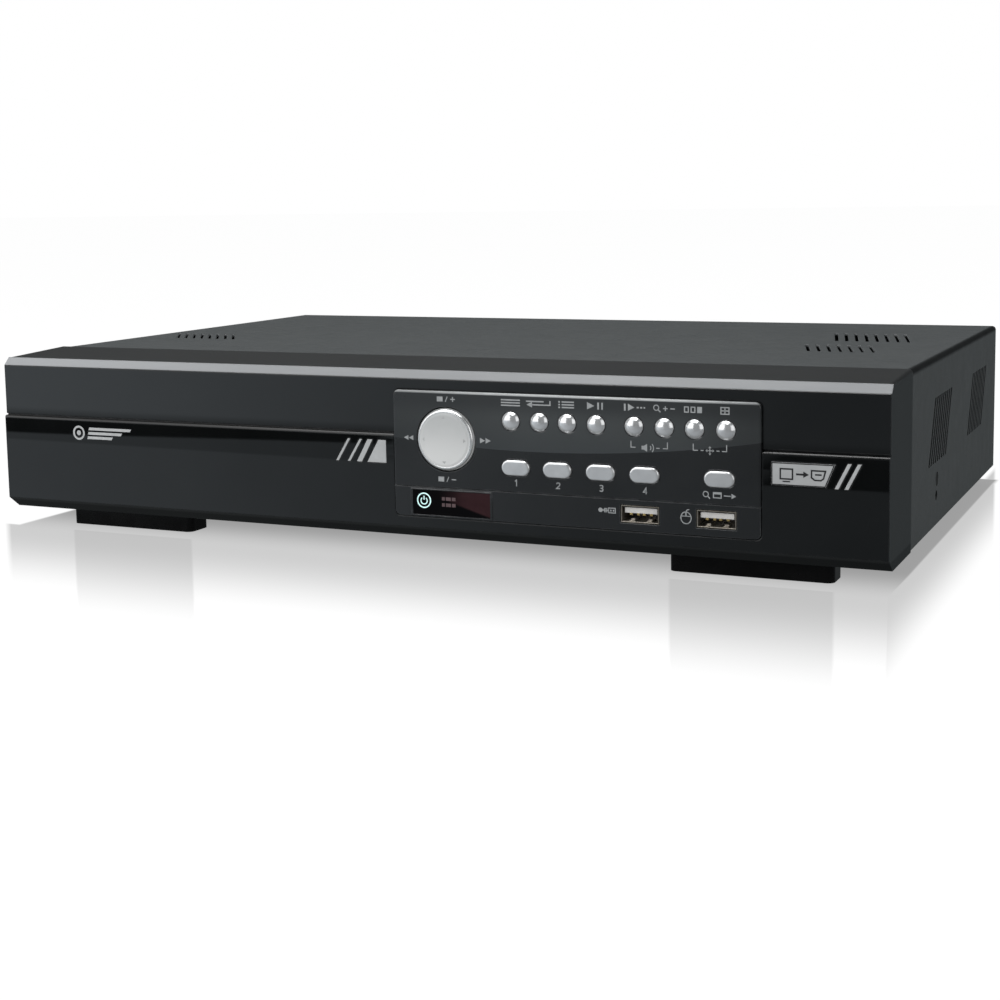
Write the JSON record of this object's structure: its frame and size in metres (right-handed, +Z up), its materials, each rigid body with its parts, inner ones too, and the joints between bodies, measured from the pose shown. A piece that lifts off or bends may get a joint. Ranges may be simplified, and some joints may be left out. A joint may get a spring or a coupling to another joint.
{
  "type": "digital video recorder",
  "caption": "Low black video recorder box with a key panel, tilting direction disc, push keys, smoked indicator window, slotted steel cover, rubber feet and rear sockets.",
  "frame": {"origin": "centre of the footprint on the table, under the middle of the whole depth including disc and sockets", "axes": "+Z up, +X to the right seen from the front, -Y is the front with the keys"},
  "size_m": [0.343, 0.2386, 0.068],
  "materials": {
    "bezel_black": "satin moulded",
    "trim_silver": "silver lacquer",
    "badge_grey": "satin",
    "inlay_silver": "satin",
    "panel_black": "glossy",
    "window_smoke": "smoked dark red",
    "key_silver": "silver lacquer",
    "disc_silver": "silver lacquer",
    "gimbal_white": "moulded",
    "board_green": "solder mask",
    "switch_black": "moulded",
    "socket_steel": "tin plated",
    "tongue_white": "moulded",
    "cover_paint": "fine textured powder coat",
    "chassis_zinc": "zinc plated",
    "screw_black": "black oxide",
    "screw_steel": "zinc plated",
    "foot_black": "moulded",
    "pad_rubber": "soft",
    "sink_black": "black anodised",
    "chip_black": "moulded epoxy",
    "can_metal": "drawn",
    "header_white": "moulded",
    "nickel": "nickel plated",
    "core_white": "moulded",
    "block_black": "moulded",
    "core_red": "moulded",
    "insert_blue": "moulded",
    "terminal_green": "moulded",
    "contact_brass": "gold flash",
    "drive_cast": "cast and painted",
    "drive_lid_steel": "stamped",
    "platter_mirror": "polished",
    "arm_metal": "machined",
    "standoff_brass": "turned",
    "fan_black": "moulded",
    "ribbon_grey": "insulation",
    "lead_dark": "insulation"
  },
  "bodies": {
    "housing": {"front_bezel": "bezel_black", "trim_strip": "trim_silver", "badge_plate": "badge_grey", "stripe_inlays": "inlay_silver", "control_panel": "panel_black", "indicator_window": "window_smoke", "front_board": "board_green", "front_board_parts": "switch_black", "usb_shells": "socket_steel", "usb_tongues": "tongue_white", "base_chassis": "chassis_zinc", "rear_panel": "cover_paint", "top_cover": "cover_paint", "cover_screws": "screw_black", "feet": "foot_black", "foot_pads": "pad_rubber", "main_board": "board_green", "heat_sink": "sink_black", "board_chips": "chip_black", "board_capacitors": "can_metal", "board_headers": "header_white", "video_sockets": "nickel", "video_socket_cores": "core_white", "socket_blocks": "block_black", "audio_rings": "nickel", "audio_cores": "core_red", "monitor_port_shell": "nickel", "monitor_port_insert": "insert_blue", "digital_video_port": "socket_steel", "lan_socket": "block_black", "lan_shield": "socket_steel", "alarm_terminal": "terminal_green", "power_jack": "block_black", "socket_pins": "contact_brass", "hard_drive_base": "drive_cast", "hard_drive_lid": "drive_lid_steel", "standoffs": "standoff_brass", "case_screws": "screw_steel", "fan_frame": "fan_black", "rear_screws": "screw_steel", "ribbon_cable": "ribbon_grey", "drive_cables": "lead_dark"},
    "menu_button": {"menu_button": "key_silver"},
    "enter_button": {"enter_button": "key_silver"},
    "list_button": {"list_button": "key_silver"},
    "play_button": {"play_button": "key_silver"},
    "slow_button": {"slow_button": "key_silver"},
    "zoom_button": {"zoom_button": "key_silver"},
    "sequence_button": {"sequence_button": "key_silver"},
    "quad_button": {"quad_button": "key_silver"},
    "channel_one_button": {"channel_one_button": "key_silver"},
    "channel_two_button": {"channel_two_button": "key_silver"},
    "channel_three_button": {"channel_three_button": "key_silver"},
    "channel_four_button": {"channel_four_button": "key_silver"},
    "search_button": {"search_button": "key_silver"},
    "nav_gimbal": {"nav_gimbal": "gimbal_white"},
    "nav_disc": {"nav_disc": "disc_silver"},
    "fan_rotor": {"fan_rotor": "fan_black"},
    "drive_platters": {"drive_platters": "platter_mirror"},
    "drive_arm": {"drive_arm": "arm_metal"}
  },
  "joints": [
    {"name": "menu_press", "type": "slide", "parent": "housing", "child": "menu_button", "axis": [0, 1, 0], "range_m": [0, 0.0005], "stiffness_N_per_m": 600, "springref_m": -0.0005},
    {"name": "enter_press", "type": "slide", "parent": "housing", "child": "enter_button", "axis": [0, 1, 0], "range_m": [0, 0.0005], "stiffness_N_per_m": 600, "springref_m": -0.0005},
    {"name": "list_press", "type": "slide", "parent": "housing", "child": "list_button", "axis": [0, 1, 0], "range_m": [0, 0.0005], "stiffness_N_per_m": 600, "springref_m": -0.0005},
    {"name": "play_press", "type": "slide", "parent": "housing", "child": "play_button", "axis": [0, 1, 0], "range_m": [0, 0.0005], "stiffness_N_per_m": 600, "springref_m": -0.0005},
    {"name": "slow_press", "type": "slide", "parent": "housing", "child": "slow_button", "axis": [0, 1, 0], "range_m": [0, 0.0005], "stiffness_N_per_m": 600, "springref_m": -0.0005},
    {"name": "zoom_press", "type": "slide", "parent": "housing", "child": "zoom_button", "axis": [0, 1, 0], "range_m": [0, 0.0005], "stiffness_N_per_m": 600, "springref_m": -0.0005},
    {"name": "sequence_press", "type": "slide", "parent": "housing", "child": "sequence_button", "axis": [0, 1, 0], "range_m": [0, 0.0005], "stiffness_N_per_m": 600, "springref_m": -0.0005},
    {"name": "quad_press", "type": "slide", "parent": "housing", "child": "quad_button", "axis": [0, 1, 0], "range_m": [0, 0.0005], "stiffness_N_per_m": 600, "springref_m": -0.0005},
    {"name": "channel_one_press", "type": "slide", "parent": "housing", "child": "channel_one_button", "axis": [0, 1, 0], "range_m": [0, 0.0005], "stiffness_N_per_m": 600, "springref_m": -0.0005},
    {"name": "channel_two_press", "type": "slide", "parent": "housing", "child": "channel_two_button", "axis": [0, 1, 0], "range_m": [0, 0.0005], "stiffness_N_per_m": 600, "springref_m": -0.0005},
    {"name": "channel_three_press", "type": "slide", "parent": "housing", "child": "channel_three_button", "axis": [0, 1, 0], "range_m": [0, 0.0005], "stiffness_N_per_m": 600, "springref_m": -0.0005},
    {"name": "channel_four_press", "type": "slide", "parent": "housing", "child": "channel_four_button", "axis": [0, 1, 0], "range_m": [0, 0.0005], "stiffness_N_per_m": 600, "springref_m": -0.0005},
    {"name": "search_press", "type": "slide", "parent": "housing", "child": "search_button", "axis": [0, 1, 0], "range_m": [0, 0.0005], "stiffness_N_per_m": 600, "springref_m": -0.0005},
    {"name": "nav_tilt_sideways", "type": "hinge", "parent": "housing", "child": "nav_gimbal", "pos_m": [0.0203, -0.1125, 0.0432], "axis": [0, 0, 1], "range_deg": [-2.5, 2.5], "stiffness_Nm_per_rad": 0.05},
    {"name": "nav_tilt_up_down", "type": "hinge", "parent": "nav_gimbal", "child": "nav_disc", "pos_m": [0.0203, -0.1125, 0.0432], "axis": [1, 0, 0], "range_deg": [-2.5, 2.5], "stiffness_Nm_per_rad": 0.05},
    {"name": "fan_spin", "type": "hinge", "parent": "housing", "child": "fan_rotor", "pos_m": [-0.11, 0.0995, 0.038], "axis": [0, 1, 0], "continuous": true},
    {"name": "platter_spin", "type": "hinge", "parent": "housing", "child": "drive_platters", "pos_m": [-0.1092, 0.0345, 0.03], "axis": [0, 0, 1], "continuous": true},
    {"name": "arm_swing", "type": "hinge", "parent": "housing", "child": "drive_arm", "pos_m": [-0.085, -0.0285, 0.03], "axis": [0, 0, 1], "range_deg": [0, 36]}
  ]
}
